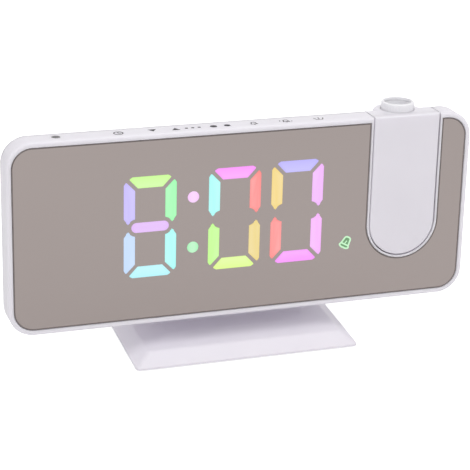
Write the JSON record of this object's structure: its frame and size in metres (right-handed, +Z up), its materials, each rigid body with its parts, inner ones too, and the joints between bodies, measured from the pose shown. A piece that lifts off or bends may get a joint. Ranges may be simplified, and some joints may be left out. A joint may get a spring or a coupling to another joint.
{
  "type": "projection alarm clock",
  "caption": "Mirror-faced digital alarm clock leaning back on a flared foot, with keys on its back and a swinging arm whose focus ring aims a projected beam.",
  "frame": {"origin": "on the table, under the middle of the foot", "axes": "+X to the right seen from the front, +Y to the back, +Z up; the case leans back 5 degrees"},
  "size_m": [0.186, 0.05, 0.0937],
  "materials": {
    "white_case": "fine satin white",
    "mirror": "half-silvered, warm grey",
    "black_plastic": "matte black",
    "diffuser": "milky, lit from behind",
    "board_green": "solder mask",
    "lamp_plastic": "gloss",
    "steel": "plain",
    "speaker_paper": "paper",
    "magnet": "sintered",
    "clear_lens": "polished",
    "lcd_glass": "polished",
    "rubber": "matte",
    "dark_window": "gloss"
  },
  "bodies": {
    "case": {"front_frame": "white_case", "rear_cover": "white_case", "foot_shell": "white_case", "foot_plate": "white_case", "mirror_panel": "mirror", "segment_mask": "black_plastic", "segment_diffusers": "diffuser", "display_board": "board_green", "display_lamps": "lamp_plastic", "board_chips": "black_plastic", "board_screws": "steel", "key_switches": "black_plastic", "power_board": "board_green", "usb_socket": "steel", "usb_contacts": "black_plastic", "power_inlet": "steel", "power_screws": "steel", "speaker_basket": "steel", "speaker_cone": "speaker_paper", "speaker_magnet": "magnet", "cell_contact": "steel", "coin_cell": "steel", "neck_screws": "steel", "foot_pads": "rubber", "foot_weight": "steel", "case_screws": "steel", "light_sensor": "dark_window"},
    "projector_arm": {"arm_front": "white_case", "arm_rear": "white_case", "arm_pins": "steel", "projector_board": "board_green", "projector_lamp": "lamp_plastic", "condenser_lens": "clear_lens", "lcd_carrier": "black_plastic", "lcd_panel": "lcd_glass", "lens_tube": "black_plastic"},
    "focus_ring": {"focus_ring": "white_case"},
    "lens_carrier": {"lens_cell": "black_plastic", "projection_lens": "clear_lens"},
    "cell_cover": {"cell_cover": "white_case"},
    "key_set": {"key_set": "white_case"},
    "key_down": {"key_down": "white_case"},
    "key_up": {"key_up": "white_case"},
    "key_dimmer": {"key_dimmer": "white_case"},
    "key_alarm_one": {"key_alarm_one": "white_case"},
    "key_alarm_two": {"key_alarm_two": "white_case"},
    "key_projector": {"key_projector": "white_case"}
  },
  "joints": [
    {"name": "arm_pivot", "type": "hinge", "parent": "case", "child": "projector_arm", "pos_m": [0.0655, -0.00458, 0.07667], "axis": [1, 0, 0], "range_deg": [-90, 90]},
    {"name": "focus_turn", "type": "hinge", "parent": "projector_arm", "child": "focus_ring", "pos_m": [0.0655, 0.00155, 0.0922], "axis": [0, 0.0872, 0.9962], "range_deg": [-130, 130]},
    {"name": "lens_focus", "type": "slide", "parent": "projector_arm", "child": "lens_carrier", "axis": [0, 0.0872, 0.9962], "range_m": [-0.0018, 0.0018]},
    {"name": "cell_cover_turn", "type": "hinge", "parent": "case", "child": "cell_cover", "pos_m": [-0.0027, 0.01477, 0.02986], "axis": [0, 0.9962, -0.0872], "range_deg": [0, 60]},
    {"name": "key_set_press", "type": "slide", "parent": "case", "child": "key_set", "axis": [0, -0.9962, 0.0872], "range_m": [0, 0.0005], "stiffness_N_per_m": 400, "springref_m": -0.0005},
    {"name": "key_down_press", "type": "slide", "parent": "case", "child": "key_down", "axis": [0, -0.9962, 0.0872], "range_m": [0, 0.0005], "stiffness_N_per_m": 400, "springref_m": -0.0005},
    {"name": "key_up_press", "type": "slide", "parent": "case", "child": "key_up", "axis": [0, -0.9962, 0.0872], "range_m": [0, 0.0005], "stiffness_N_per_m": 400, "springref_m": -0.0005},
    {"name": "key_dimmer_press", "type": "slide", "parent": "case", "child": "key_dimmer", "axis": [0, -0.9962, 0.0872], "range_m": [0, 0.0005], "stiffness_N_per_m": 400, "springref_m": -0.0005},
    {"name": "key_alarm_one_press", "type": "slide", "parent": "case", "child": "key_alarm_one", "axis": [0, -0.9962, 0.0872], "range_m": [0, 0.0005], "stiffness_N_per_m": 400, "springref_m": -0.0005},
    {"name": "key_alarm_two_press", "type": "slide", "parent": "case", "child": "key_alarm_two", "axis": [0, -0.9962, 0.0872], "range_m": [0, 0.0005], "stiffness_N_per_m": 400, "springref_m": -0.0005},
    {"name": "key_projector_press", "type": "slide", "parent": "case", "child": "key_projector", "axis": [0, -0.9962, 0.0872], "range_m": [0, 0.0005], "stiffness_N_per_m": 400, "springref_m": -0.0005}
  ],
  "couplings": [
    {"joint": "focus_turn", "follows": "lens_focus", "rad_per_m": 1250}
  ]
}
